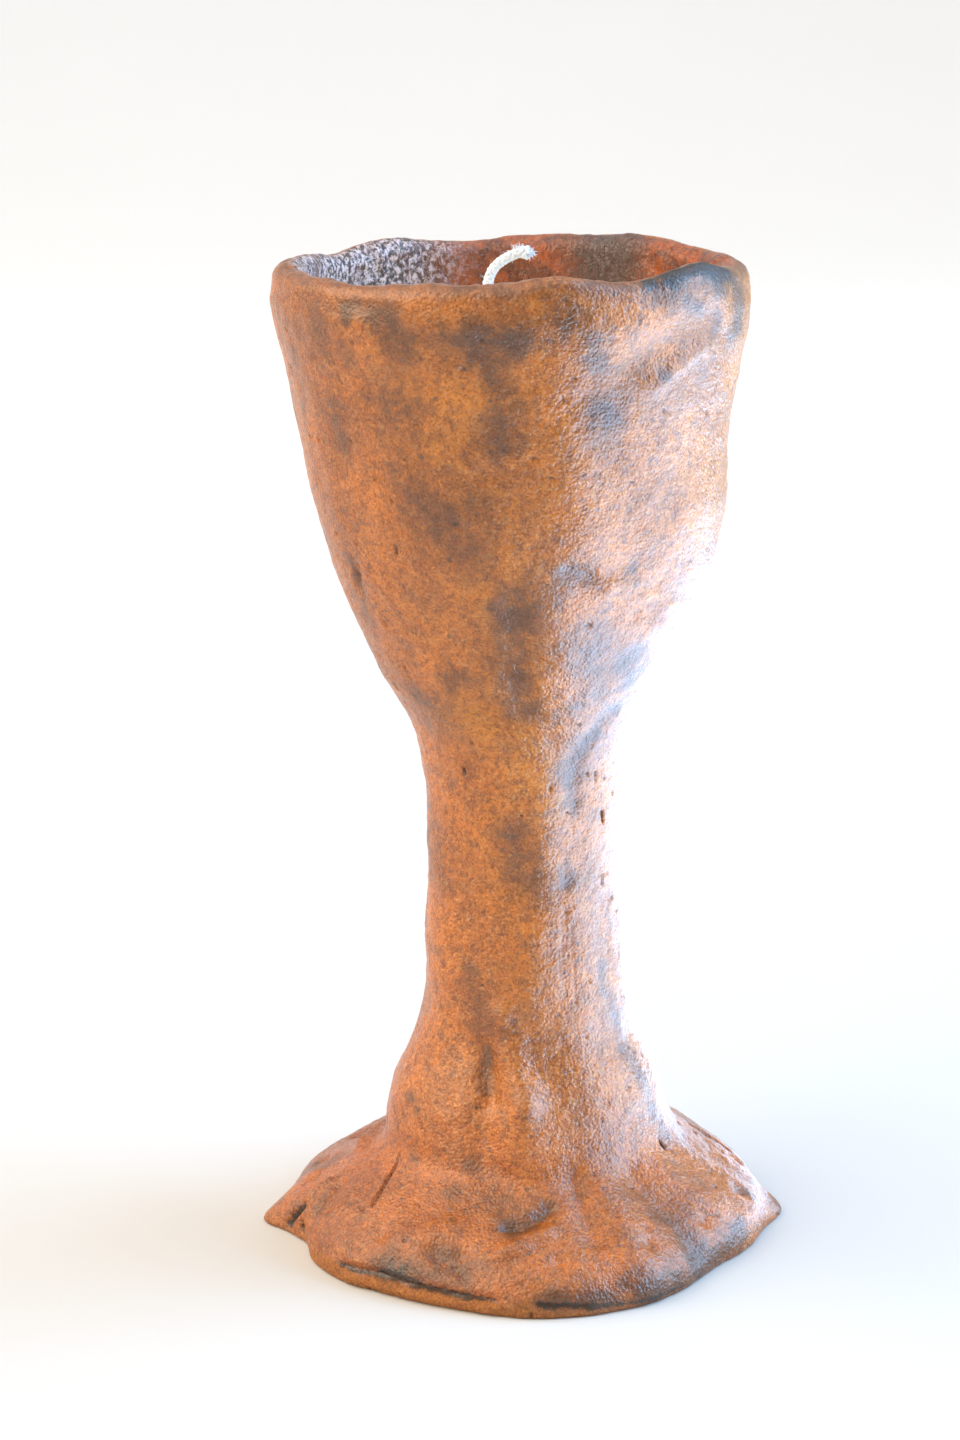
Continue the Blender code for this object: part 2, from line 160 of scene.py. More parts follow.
# Iron and smoke left by the kiln: strength, half width, places
SOOT = (
    (1.6, 1.5, ((-131, 177.8), (-129, 177.4))), (1.8, 1.7, ((-124.5, 175.6), (-122.5, 175.8))),
    (1.4, 1.2, ((-132.4, 176.4), (-132, 174.6))), (1.2, 3.0, ((-119, 173.6), (-116.5, 171))),
    (0.5, 2.6, ((-140, 177), (-141, 170))), (0.5, 2.4, ((-134, 170), (-132, 166))),
    (0.7, 4.6, ((-107, 172), (-102, 171))), (1.7, 3.4, ((-98, 172.5), (-92, 172))),
    (1.0, 3.4, ((-96, 168), (-93, 161), (-93, 156))), (0.9, 2.8, ((-143, 157), (-142, 152))),
    (0.5, 4.0, ((-122, 164), (-120, 160))), (1.3, 2.4, ((-77, 175), (-74, 173.6), (-71, 169))),
    (1.6, 2.2, ((-70, 158.8), (-65.5, 158.8))), (0.6, 3.0, ((-60, 168), (-64, 163), (-68, 160))),
    (0.9, 1.2, ((-51, 166), (-50.5, 165))), (0.9, 1.3, ((-33, 173.5), (-33, 171.5))),
    (3.0, 3.2, ((-55, 182), (-50, 181.4), (-43, 181.4), (-35, 181.4))),
    (1.9, 2.6, ((-34, 179.5), (-25, 178.5), (-21, 175), (-21, 170))), (1.2, 1.4, ((-46, 176.5), (-40, 175))),
    (0.9, 1.5, ((-57, 132.8), (-57, 132))), (1.1, 2.0, ((-78, 131.4), (-72, 130.4))),
    (0.7, 3.4, ((-84, 127), (-90, 125))), (1.1, 3.6, ((-93, 123), (-92, 115))),
    (0.9, 3.0, ((-91, 110), (-90, 105))), (0.7, 2.4, ((-119, 110), (-113, 110.6))),
    (0.6, 2.4, ((-137, 106), (-130, 105.4))), (0.5, 4.0, ((-120, 148), (-113, 142))),
    (0.5, 5.0, ((-108, 136), (-104, 144))), (0.8, 5.0, ((-66, 117), (-60, 113))),
    (0.9, 3.2, ((-48, 113), (-42, 110.4))), (0.8, 3.0, ((-62, 106), (-66, 104))),
    (1.3, 2.4, ((-47, 102), (-52, 99), (-58, 96), (-63, 93.5))), (1.1, 1.8, ((-62, 92), (-61, 85.6))),
    (0.8, 1.6, ((-149, 131), (-148, 124), (-149, 120))),
    (0.9, 3.2, ((-96, 80), (-93, 76), (-92, 71))), (0.9, 1.8, ((-65, 72.4), (-63, 70.4))),
    (0.8, 2.2, ((-42, 52), (-32, 40), (-25, 30), (-23, 20))), (0.6, 3.0, ((-122, 54), (-118, 46))),
    (1.0, 1.6, ((-111.5, 38.5), (-109, 33))), (1.0, 1.5, ((-148, 28), (-144, 27.6))),
    (0.9, 1.5, ((-113.5, 20), (-112, 19.4))), (0.8, 1.5, ((-119, 15.8), (-117, 15.2))),
    (1.7, 1.7, ((-95, 12.4), (-90, 13.2), (-85.5, 14.4))), (1.0, 2.0, ((-113, 8), (-106, 6.6))),
    (0.8, 3.2, ((-48, 12), (-44, 6))), (0.9, 1.6, ((-13, 8.8), (-10, 7))), (1.2, 1.6, ((0, 2.0), (4, 1.5))),
    (0.7, 2.4, ((-160, 9), (-158, 7))), (0.5, 2.2, ((-124, 5.6), (-119, 4.6))),
    (1.8, 2.4, ((-66, 3.6), (-54, 3), (-46, 3), (-38, 3.6), (-27, 4))), (0.7, 3.0, ((-104, 15), (-98, 14))),
    (1.5, 1.6, ((-86, 4), (-78, 3.4), (-72, 3.4))), (0.9, 1.3, ((-127, 5.2), (-119, 5.2), (-112, 5))),
    # back and sides
    (0.9, 4.6, ((118, 172), (108, 165))), (1.0, 4.0, ((70, 160), (74, 152), (72, 146))),
    (0.8, 5.0, ((20, 165), (14, 154))), (0.8, 4.0, ((158, 166), (164, 158))),
    (1.1, 3.2, ((100, 132), (96, 122), (98, 112))), (0.8, 3.6, ((44, 122), (50, 112))),
    (0.9, 3.0, ((140, 116), (134, 106))), (1.1, 2.6, ((70, 98), (74, 90), (72, 82))),
    (0.8, 3.0, ((110, 74), (106, 64))), (0.9, 3.0, ((40, 62), (46, 52))), (0.7, 3.4, ((160, 62), (156, 50))),
    (1.0, 3.0, ((92, 34), (98, 26))), (0.9, 3.4, ((60, 18), (52, 12))), (1.0, 3.0, ((118, 12), (110, 8))),
    (0.9, 3.2, ((80, 6), (70, 4))), (0.8, 3.0, ((28, 12), (22, 8))), (0.8, 2.6, ((178, 10), (172, 7))),
)

# Brighter, more orange patches
EMBER = (
    (0.8, 6.0, ((-118, 164), (-106, 160))), (0.8, 6.0, ((-112, 152), (-100, 146))),
    (0.7, 7.0, ((-96, 134), (-104, 128))), (0.9, 6.0, ((-120, 104), (-100, 100), (-84, 98))),
    (0.6, 6.0, ((-84, 160), (-84, 150))), (0.7, 6.0, ((-100, 88), (-108, 70))),
    (0.6, 7.0, ((-125, 20), (-135, 12))), (0.7, 5.0, ((-84, 92), (-76, 86))),
    (0.7, 7.0, ((90, 142), (110, 150))), (0.7, 6.0, ((60, 104), (90, 100))),
    (0.6, 8.0, ((130, 90), (120, 66))), (0.6, 7.0, ((70, 24), (100, 16))),
)

# Thick dark glaze where it stopped above the bare edge of the slab
GLAZE_LINE = (
    (1.0, 0.5, ((-137, 3.2), (-131, 3.1), (-125, 3.5))), (1.2, 0.95, ((-125, 3.8), (-121, 4.1), (-116, 3.5))),
    (1.0, 0.5, ((-123, 4.2), (-123.5, 6.4))), (1.0, 0.45, ((-120, 4.0), (-119.6, 5.8))),
    (1.1, 0.7, ((-117, 3.4), (-110, 3.2), (-103, 3.0))), (0.9, 0.45, ((-103, 3.0), (-97, 3.0))),
    (1.1, 0.7, ((-88, 2.7), (-84, 2.6), (-76, 2.0))), (0.9, 0.5, ((-76, 1.8), (-62, 1.4), (-52, 1.3))),
    (0.8, 0.45, ((30, 3.4), (60, 3.0), (90, 3.4), (120, 3.1))),
)

# Layers of noise: amount, size of its lumps, shift
CLAY_LUMPS = (
    (0.45, 17.0, 0.0), (0.26, 8.5, 3.1), (0.13, 4.2, 7.7),
    (0.09, 2.1, 1.9), (0.07, 1.15, 4.4), (0.04, 0.7, 9.2),
)
INSIDE_CREASES = ((0.26, 1.7, 2.6), (0.20, 0.9, 8.1), (0.2, 3.6, 5.1))
WAX_RIPPLES = ((0.14, 11.0, 2.2), (0.05, 3.6, 6.2), (0.015, 1.2, 8.8))
# Pinholes: depth, size, shift, noise value where one begins
PINHOLES = ((0.5, 1.7, 13.7, 0.82), (0.3, 1.0, 17.1, 0.86))
INSIDE_RADIUS = 34.0             # of the cup near its lip, where the creases are
CREASE_STRETCH = 0.42            # under 1, so that the creases run up the wall
CREASE_WARP = 0.9

# Angles where the inside is grey with painted glints, where it is dark, and where the foot's edge has no
# glaze
GREY_AND_GLINT_SIDE = 153.0
DARK_PATCH = 60.0
BARE_FRONT = -112.0

# ---------------------------------------------------------------- shape functions
LATTICE_SIZE = 64
LATTICE = np.random.default_rng(11).random((LATTICE_SIZE,) * 3)


def ease(t):
    t = np.clip(t, 0.0, 1.0)
    return t * t * (3.0 - 2.0 * t)


def fade(value, start, end):
    """0 at the start, 1 at the end and smooth between them."""
    return ease((value - start) / (end - start))


def noise(points, size, shift=0.0):
    """Smooth random value from -1 to 1 at each point, with lumps of about this size in mm."""
    place = points / size + shift
    cell = np.floor(place).astype(int)
    t = place - cell
    t = t * t * (3.0 - 2.0 * t)
    total = np.zeros(points.shape[:-1])
    for corner in range(8):
        step = np.array((corner & 1, corner >> 1 & 1, corner >> 2))
        index = (cell + step) % LATTICE_SIZE
        weight = np.prod(np.where(step, t, 1.0 - t), axis=-1)
        total += weight * LATTICE[index[..., 0], index[..., 1], index[..., 2]]
    return 2.0 * total - 1.0


def layered_noise(points, layers):
    return sum(amount * noise(points, size, shift) for amount, size, shift in layers)


def smooth_value(stations, place, column):
    """Smooth curve through a column of the stations, read at places along their first column."""
    keys = stations[:, 0]
    values = stations[:, column]
    start = np.searchsorted(keys[1:-1], place)
    end = start + 1
    before = np.maximum(start - 1, 0)
    after = np.minimum(end + 1, len(keys) - 1)
    span = keys[end] - keys[start]
    start_slope = (values[end] - values[before]) / (keys[end] - keys[before])
    end_slope = (values[after] - values[start]) / (keys[after] - keys[start])
    t = np.clip((place - keys[start]) / span, 0.0, 1.0)
    t2 = t * t
    t3 = t2 * t
    return ((2.0 * t3 - 3.0 * t2 + 1.0) * values[start] + (t3 - 2.0 * t2 + t) * span * start_slope
            + (3.0 * t2 - 2.0 * t3) * values[end] + (t3 - t2) * span * end_slope)


def outer_radius(height):
    return smooth_value(OUTLINE, height, 1)


def angle_away(angle, middle):
    """Degrees between two angles, the short way round."""
    return np.abs((angle - middle + 180.0) % 360.0 - 180.0)


def angle_bump(angle, middle, half_width):
    return np.exp(-(angle_away(angle, middle) / half_width) ** 2)


def hand_shape(radius, angle, height):
    """Where hand-building left a point of the evenly turned clay."""
    push = sum(amount * angle_bump(angle, middle, half_angle)
               * np.exp(-((height - level) / half_height) ** 2)
               for middle, level, amount, half_angle, half_height in HAND_MARKS)
    lift = sum(amount * angle_bump(angle, middle, width) for middle, amount, width in LIP_WAVES)
    moved = radius + push * ease(radius / CORE_RADIUS)
    raised = height + lift * fade(height, LIP_HEIGHT - LIP_WAVE_DEPTH, LIP_HEIGHT)
    turn = np.radians(angle)
    lean = smooth_value(OUTLINE, height, 2)
    return np.stack((lean + moved * np.cos(turn), moved * np.sin(turn), raised), axis=-1)


def stroke_field(points, strokes, wobble):
    """Sum of the strokes at each point. The edges of a stroke wander by this share of its width."""
    total = np.zeros(len(points))
    for strength, width, nodes in strokes:
        nodes = np.array(nodes, float)
        rough = hand_shape(outer_radius(nodes[:, 1]), nodes[:, 0], nodes[:, 1])
        length = np.linalg.norm(np.diff(rough, axis=0), axis=1).sum()
        along = np.linspace(0.0, len(nodes) - 1.0, max(2, math.ceil(3.0 * length / width)))
        angle, height = (np.interp(along, np.arange(len(nodes)), nodes[:, i]) for i in (0, 1))
        line = hand_shape(outer_radius(height), angle, height)
        reach = 2.6 * width
        near = np.all((points > line.min(0) - reach) & (points < line.max(0) + reach), axis=1)
        chosen = points[near]
        away = np.full(len(chosen), np.inf)
        for spot in line:
            away = np.minimum(away, np.linalg.norm(chosen - spot, axis=1))
        away = away + wobble * width * noise(chosen, 1.3 * width, 5.3)
        total[near] += strength * np.exp(-(away / width) ** 2)
    return total


def spaced(points, spacing):
    """Points about this far apart along a line of (radius, height) points."""
    points = np.array(points, float)
    along = np.concatenate(([0.0], np.cumsum(np.linalg.norm(np.diff(points, axis=0), axis=1))))
    places = np.linspace(0.0, along[-1], max(2, round(along[-1] / spacing) + 1))
    return np.stack([np.interp(places, along, points[:, i]) for i in (0, 1)], axis=1)


def outer_line(top, bottom):
    heights = np.linspace(top, bottom, 400)
    return np.stack((outer_radius(heights), heights), axis=1)


def tucked_line(top, bottom, above=0.0, below=0.0):
    """Outer wall that runs on past its top or bottom joint by this much, tucked in behind its neighbour."""
    line = outer_line(top + above, bottom - below)
    past = np.maximum(line[:, 1] - top, 0.0) + np.maximum(bottom - line[:, 1], 0.0)
    line[:, 0] -= TUCK * past * past
    return line


def join_sections(*sections):
    """One profile from (points, relief weight) sections: radius, height, normal and weight of each point."""
    rows = []
    for points, weight in sections:
        along = np.gradient(points, axis=0)
        normal = np.stack((-along[:, 1], along[:, 0]), axis=1)
        normal /= np.linalg.norm(normal, axis=1)[:, None]
        weight = np.broadcast_to(weight, len(points))
        rows.append(np.column_stack((points, normal, weight))[1 if rows else 0:])
    return np.concatenate(rows)


def clay_relief(base, angle, inside):
    """How far the clay stands proud of its even shape at each base point, and how deep its cracks and
    pinholes are, which sets their painted shade.
    """
    split = stroke_field(base, CRACKS, 0.3)
    tooled = stroke_field(base, STROKES, 0.25) + split
    pits = -sum(deep * fade(noise(base, size, shift), start, start + 0.1)
                for deep, size, shift, start in PINHOLES)
    around = np.radians(angle) * INSIDE_RADIUS
    unrolled = np.stack((around, CREASE_STRETCH * base[:, 2], 0.0 * angle), axis=-1)
    warp = np.stack([noise(base, 3.4, shift) for shift in (4.1, 8.3, 2.9)], axis=-1)
    creases = layered_noise(unrolled + CREASE_WARP * warp, INSIDE_CREASES)
    relief = layered_noise(base, CLAY_LUMPS) + (tooled + pits) * (1.0 - inside) + creases * inside
    depth = ease(-split / 1.1) + 0.5 * ease(-pits / 0.5)
    return relief, np.clip(depth, 0.0, 1.0) * (1.0 - inside)


def bare_clay(base, angle, height, out):
    """Where the foot has no glaze: its lower edge, mostly at the front left and the back, and its hollow."""
    edge = fade(height - 0.8 * noise(base, 3.0, 6.1), 3.4, 2.7)
    bare = np.maximum(edge, out < -0.3)
    glazed_right = fade(angle, -78.0, -66.0) * fade(angle, 0.0, -14.0) * (height > 1.0)
    share = np.clip(0.35 + angle_bump(angle, BARE_FRONT, 42.0) + (angle > 0.0), 0.0, 1.0)
    return bare * (1.0 - glazed_right) * share


def clay_paints(base, angle, inside):
    """Numbers at each point of a clay member that its material reads, by name."""
    level = base[:, 2]
    outside = 1.0 - inside
    smoke = 0.26 * ease(0.5 + noise(base, 13.0, 3.3)) * (1.0 + 0.6 * fade(level, 140.0, 165.0))
    return {
        "inside": inside,
        "soot": (1.3 * stroke_field(base, SOOT, 0.6) + smoke) * outside,
        "ember": stroke_field(base, EMBER, 0.5) * outside,
        "glaze_line": stroke_field(base, GLAZE_LINE, 0.3),
        "lip": fade(level, 178.0, 181.0) * outside,
        "skirt": fade(level, 32.0, 16.0),
        "grey_side_and_glints": inside * fade(angle_away(angle, GREY_AND_GLINT_SIDE), 57.0, 31.0) * fade(level, 160.0, 168.0),
        "dark_patch": inside * angle_bump(angle, DARK_PATCH, 14.0),
    }


def clay_piece(name, node, profile, turns, finish, open_ends=False):
    """Turn a profile into a clay member of the goblet, with its relief and its paint attributes."""
    angle = np.tile(np.linspace(-180.0, 180.0, turns, endpoint=False), len(profile))
    radius, height, out, up, weight = np.repeat(profile, turns, axis=0).T
    base = hand_shape(radius, angle, height)
    inside = fade(out, 0.2, -0.3) * fade(height, 150.0, 160.0)
    relief, depth = clay_relief(base, angle, inside)
    cos, sin = np.cos(np.radians(angle)), np.sin(np.radians(angle))
    normal = np.stack((out * cos, out * sin, up), axis=-1)
    points = base + normal * (relief * weight)[:, None]
    points[:, 2] = np.maximum(points[:, 2], 0.0)
    mesh = grid_mesh(name, points, len(profile), turns, open_ends)
    paints = clay_paints(base, angle, inside)
    # Depth of the cracks and pinholes, kept for their painted shade
    paints["crack_shade"] = depth
    paints["bare"] = bare_clay(base, angle, height, out) * (node == "foot")
    for paint_name, values in paints.items():
        filled = np.zeros(len(mesh.vertices), np.float32)
        filled[:len(values)] = values
        mesh.attributes.new(paint_name, "FLOAT", "POINT").data.foreach_set("value", filled)
    add_piece(mesh, finish, node)


def add_piece(mesh, finish, node):
    """Put a mesh in the scene as a piece that stands for a CAD node."""
    mesh.materials.append(finish)
    piece = bpy.data.objects.new(mesh.name, mesh)
    bpy.context.scene.collection.objects.link(piece)
    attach(piece, "root")
    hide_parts(node)
    return piece


def grid_mesh(name, points, rows, turns, open_ends):
    """Mesh of rings of points. The last ring meets the first, or with open ends both close on the axis."""
    index = np.arange(rows * turns).reshape(rows, turns)
    joined = index if open_ends else np.vstack((index, index[:1]))
    upper, lower = joined[:-1], joined[1:]
    quads = np.stack((upper, np.roll(upper, -1, 1), np.roll(lower, -1, 1), lower), axis=-1).reshape(-1, 4)
    faces = quads.tolist()
    if open_ends:
        ends = np.stack([points[row].mean(0) for row in (index[0], index[-1])])
        points = np.vstack((points, ends))
        first, last = rows * turns, rows * turns + 1
        faces += [(first, b, a) for a, b in zip(index[0], np.roll(index[0], -1))]
        faces += [(last, a, b) for a, b in zip(index[-1], np.roll(index[-1], -1))]
    mesh = bpy.data.meshes.new(name)
    mesh.from_pydata((points * MM).tolist(), [], faces)
    mesh.update()
    mesh.shade_smooth()
    return mesh


# ---------------------------------------------------------------- materials
class Paint:
    """A material, with short ways to add its nodes. Sizes are in mm, read from the object's own place."""

    def __init__(self, name):
        self.material = bpy.data.materials.new(name)
        self.material.use_nodes = True
        self.tree = self.material.node_tree
        self.shader = self.tree.nodes["Principled BSDF"]
        place = self.node("TexCoord").outputs["Object"]
        in_mm = self.node("VectorMath", {0: place, 1: (1.0 / MM,) * 3}, operation="MULTIPLY")
        self.place = in_mm.outputs[0]

    def node(self, kind, inputs=None, **settings):
        made = self.tree.nodes.new("ShaderNode" + kind)
        for key, value in settings.items():
            setattr(made, key, value)
        for key, value in (inputs or {}).items():
            self.feed(made.inputs[key], value)
        return made

    def feed(self, socket, value):
        if isinstance(value, bpy.types.NodeSocket):
            self.tree.links.new(value, socket)
        else:
            socket.default_value = value

    def set(self, **values):
        """Inputs of the shader, by name with _ for a space."""
        for key, value in values.items():
            self.feed(self.shader.inputs[key.replace("_", " ").title().replace("Ior", "IOR")], value)

    def stretch(self, x, y, z):
        return self.node("VectorMath", {0: self.place, 1: (x, y, z)}, operation="MULTIPLY").outputs[0]

    def noise(self, size, detail=2.0, roughness=0.5, place=None, distortion=0.0):
        inputs = {"Vector": place or self.place, "Scale": 1.0 / size, "Detail": detail,
                  "Roughness": roughness, "Distortion": distortion}
        return self.node("TexNoise", inputs).outputs[0]

    def cells(self, size, output="Distance"):
        return self.node("TexVoronoi", {"Vector": self.place, "Scale": 1.0 / size}).outputs[output]

    def value(self, colour):
        """One channel of a colour, as a random number for a cell."""
        return self.node("SeparateColor", {0: colour}).outputs[0]

    def range(self, value, low, high, start=0.0, end=1.0):
        """Value from low to high, brought smoothly to start to end and held there outside them."""
        inputs = {"Value": value, "From Min": low, "From Max": high, "To Min": start, "To Max": end}
        return self.node("MapRange", inputs, interpolation_type="SMOOTHSTEP").outputs[0]

    def math(self, operation, a, b=0.0):
        return self.node("Math", {0: a, 1: b}, operation=operation).outputs[0]

    def product(self, a, b):
        return self.math("MULTIPLY", a, b)

    def attribute(self, name):
        return self.node("Attribute", attribute_name=name).outputs["Fac"]

    def mix(self, share, a, b, blend="MIX"):
        a, b = ((*v, 1.0) if isinstance(v, tuple) else v for v in (a, b))
        made = self.node("Mix", {0: share, 6: a, 7: b}, data_type="RGBA", blend_type=blend)
        return made.outputs[2]

    def bump(self, height, distance, normal=None):
        """Height from 0 to 1 over a distance in mm."""
        inputs = {"Height": height, "Distance": distance * MM, "Strength": 1.0}
        if normal:
            inputs["Normal"] = normal
        return self.node("Bump", inputs).outputs[0]


def glazed_outside(p, n, bare):
    """Colour of the outer wall before the kiln's marks: orange glaze, mottled, with the grain of the clay."""
    ember = p.range(p.product(p.attribute("ember"), p.range(n["patch"], 0.3, 0.6)), 0.1, 0.9, 0.0, 0.8)
    colour = p.mix(p.range(n["wide"], 0.36, 0.64), (0.38, 0.100, 0.006), (0.56, 0.156, 0.010))
    colour = p.mix(p.range(n["patch"], 0.50, 0.72, 0.0, 0.6), colour, (0.23, 0.078, 0.022))
    colour = p.mix(ember, colour, (0.60, 0.185, 0.012))
    colour = p.mix(p.range(n["mottle"], 0.34, 0.52, 0.55, 0.0), colour, (0.20, 0.062, 0.015))
    colour = p.mix(p.range(n["mottle"], 0.54, 0.70, 0.0, 0.4), colour, (0.66, 0.20, 0.02))
    colour = p.mix(bare, colour, p.mix(n["patch"], (0.34, 0.118, 0.022), (0.52, 0.20, 0.05)))
    colour = p.mix(p.range(n["fine"], 0.30, 0.52, 0.62, 0.0), colour, (0.13, 0.036, 0.008))
    colour = p.mix(p.range(n["fine"], 0.52, 0.74, 0.0, 0.55), colour, (0.74, 0.33, 0.10))
    colour = p.mix(p.range(n["grain"], 0.28, 0.50, 0.55, 0.0), colour, (0.11, 0.034, 0.012))
    return p.mix(p.range(n["grain"], 0.56, 0.76, 0.0, 0.6), colour, (0.84, 0.39, 0.09))


def iron_spots(p, colour, size, near, rare, strength, spot_colour):
    """Round spots in some cells of this size. near and rare are the ranges of distance and of chance."""
    here = p.range(p.value(p.cells(size, "Color")), *rare, 1.0, 0.0)
    spot = p.product(p.range(p.cells(size), *near, 1.0, 0.0), here)
    return p.mix(p.product(spot, strength), colour, spot_colour)


def glazed_inside(p, n):
    """Colour of the cup's wall: dark red, with a grey side streaked with painted glints and one dark patch.
    """
    streak = p.noise(0.9, 4.0, 0.7, p.stretch(1.0, 1.0, 0.8), 0.3)
    colour = p.mix(p.range(n["patch"], 0.35, 0.62), (0.15, 0.030, 0.004), (0.40, 0.078, 0.003))
    colour = p.mix(p.range(streak, 0.42, 0.7, 0.0, 0.6), colour, (0.045, 0.018, 0.008))
    dark = p.product(p.attribute("dark_patch"), p.range(n["patch"], 0.2, 0.7, 0.3, 1.3))
    dark_colour = p.mix(streak, (0.020, 0.014, 0.014), (0.085, 0.055, 0.050))
    colour = p.mix(p.range(dark, 0.1, 0.9, 0.0, 0.9), colour, dark_colour)
    # Dark grey glaze streaked with pale painted glints
    grey_and_glints = p.mix(p.range(streak, 0.44, 0.60), (0.05, 0.029, 0.022), (0.70, 0.58, 0.62))
    grey_and_glint_share = p.product(p.attribute("grey_side_and_glints"), p.range(n["patch"], 0.25, 0.55, 0.45, 1.0))
    return p.mix(grey_and_glint_share, colour, grey_and_glints)


def stoneware(name):
    """Iron-rich clay with grog, under a thin semi-gloss glaze that pooled and smoked in the kiln."""
    p = Paint(name)
    # n has the noises, from the largest lumps to the smallest
    n = {
        "wide": p.noise(15.0, 3.0, 0.55),
        "patch": p.noise(5.0, 4.0, 0.6, distortion=0.6),
        "mottle": p.noise(2.4, 4.0, 0.62, distortion=0.3),
        "fine": p.noise(1.0, 3.0, 0.65),
        "grain": p.noise(0.46, 2.0, 0.6),
    }
    bare, soot_paint, lip_paint, inside, skirt = (
        p.attribute(paint_name) for paint_name in ("bare", "soot", "lip", "inside", "skirt"))
    colour = glazed_outside(p, n, bare)

    cloud = p.range(p.noise(3.4, 6.0, 0.7, distortion=0.4), 0.28, 0.70, 0.2, 1.45)
    cloud = p.product(p.product(soot_paint, cloud), p.range(n["fine"], 0.3, 0.7, 0.65, 1.25))
    cloud = p.math("POWER", cloud, 1.5)
    soot = p.math("DIVIDE", cloud, p.math("ADD", cloud, 0.6))
    colour = p.mix(soot, colour, p.mix(n["fine"], (0.032, 0.014, 0.008), (0.12, 0.048, 0.020)))
    # Near-black on the lip: partly dark glaze, partly painted shade standing in for the dark surroundings
    # that the lip's top reflects
    dark_glaze_and_painted_shade = p.range(p.product(soot_paint, p.range(n["mottle"], 0.3, 0.6, 0.7, 1.2)), 1.9, 3.0)
    dark_glaze_and_painted_shade = p.product(dark_glaze_and_painted_shade, lip_paint)
    colour = p.mix(p.product(dark_glaze_and_painted_shade, 0.92), colour, (0.012, 0.008, 0.008))
    colour = iron_spots(p, colour, 2.3, (0.10, 0.30), (0.05, 0.24), 0.6, (0.055, 0.03, 0.022))
    colour = iron_spots(p, colour, 1.0, (0.20, 0.32), (0.12, 0.16), 0.45, (0.30, 0.05, 0.015))

    line = p.math("ADD", p.attribute("glaze_line"), p.range(n["fine"], 0.3, 0.7, -0.35, 0.35))
    line = p.range(line, 0.2, 0.8)
    colour = p.mix(p.product(line, 0.88), colour, (0.030, 0.022, 0.020))
    dry_lip = p.product(lip_paint, p.range(n["patch"], 0.25, 0.6, 0.35, 0.8))
    dry_lip = p.product(dry_lip, p.range(soot, 0.1, 0.5, 1.0, 0.0))
    colour = p.mix(dry_lip, colour, (0.095, 0.029, 0.007))
    colour = p.mix(inside, colour, glazed_inside(p, n))
    colour = p.mix(skirt, colour, (0.88, 0.77, 0.50), "MULTIPLY")
    # Painted shade inside the cracks and pinholes: the deeper, the darker
    colour = p.mix(p.range(p.attribute("crack_shade"), 0.05, 0.75, 0.0, 0.94), colour, (0.018, 0.011, 0.008))

    rough = p.range(n["grain"], 0.25, 0.75, 0.22, 0.40)
    for glossy, change in ((soot, 0.03), (inside, 0.15), (line, 0.2)):
        rough = p.math("SUBTRACT", rough, p.product(glossy, change))
    for dull, least in ((bare, 0.85), (dry_lip, 0.62), (dark_glaze_and_painted_shade, 0.5)):
        rough = p.math("MAXIMUM", rough, p.product(dull, least))
    rough = p.math("MAXIMUM", rough, 0.14)

    grog = p.math("ADD", p.product(n["grain"], 0.6), p.product(p.cells(0.64), 0.5))
    grog = p.product(grog, p.math("ADD", 1.0, p.product(skirt, 0.45)))
    crust = p.product(p.noise(0.9, 3.0, 0.6, p.stretch(1.0, 1.0, 0.6), 0.8), inside)
    bumped = p.bump(grog, 0.21, p.bump(crust, 0.65, p.bump(n["fine"], 0.2)))
    p.set(base_color=colour, roughness=rough, normal=bumped, specular_ior_level=0.8, ior=1.5)
    return p.material


def candle_wax():
    """Poured soy wax: cream, softly frosted, slightly translucent."""
    p = Paint("soy_wax")
    frost = p.noise(9.0, 4.0, 0.62, distortion=1.2)
    dust = p.noise(0.9, 3.0, 0.6)
    colour = p.mix(p.range(frost, 0.42, 0.66), (0.80, 0.70, 0.52), (0.88, 0.82, 0.69))
    colour = p.mix(p.range(dust, 0.5, 0.8, 0.0, 0.25), colour, (0.93, 0.90, 0.82))
    p.set(base_color=colour, roughness=p.range(frost, 0.3, 0.7, 0.30, 0.52), normal=p.bump(dust, 0.05),
          subsurface_weight=0.35, subsurface_scale=0.003, subsurface_radius=(1.0, 0.75, 0.5))
    return p.material


def braided_cotton():
    """Bleached cotton yarn, primed with a little wax. The blue in its white is painted cool light."""
    p = Paint("braided_cotton")
    twist = p.noise(0.22, 3.0, 0.6)
    lump = p.noise(1.4, 2.0)
    # The blue tint of the white yarn is painted cool light
    colour = p.mix(p.range(twist, 0.3, 0.7), (0.70, 0.78, 0.92), (0.86, 0.94, 1.0))
    colour = p.mix(p.range(lump, 0.5, 0.7, 0.0, 0.2), colour, (0.84, 0.82, 0.80))
    p.set(base_color=colour, roughness=0.85, normal=p.bump(twist, 0.05), sheen_weight=0.25)
    return p.material


def pressed_tin():
    """Thin tinned steel with a fine rolled grain and faint handling marks."""
    p = Paint("pressed_tin")
    rolled = p.noise(0.25, 3.0, 0.6, p.stretch(0.06, 1.0, 1.0))
    smear = p.noise(3.0, 3.0)
    colour = p.mix(p.range(smear, 0.4, 0.7), (0.62, 0.62, 0.63), (0.76, 0.76, 0.77))
    p.set(base_color=colour, metallic=1.0, roughness=p.range(rolled, 0.3, 0.7, 0.26, 0.42),
          normal=p.bump(rolled, 0.01))
    return p.material


def foam_adhesive():
    """White closed-cell foam."""
    p = Paint("foam_adhesive")
    bubbles = p.cells(0.3)
    colour = p.mix(p.range(bubbles, 0.0, 0.6), (0.66, 0.66, 0.63), (0.86, 0.86, 0.84))
    p.set(base_color=colour, roughness=0.8, normal=p.bump(bubbles, 0.08))
    return p.material


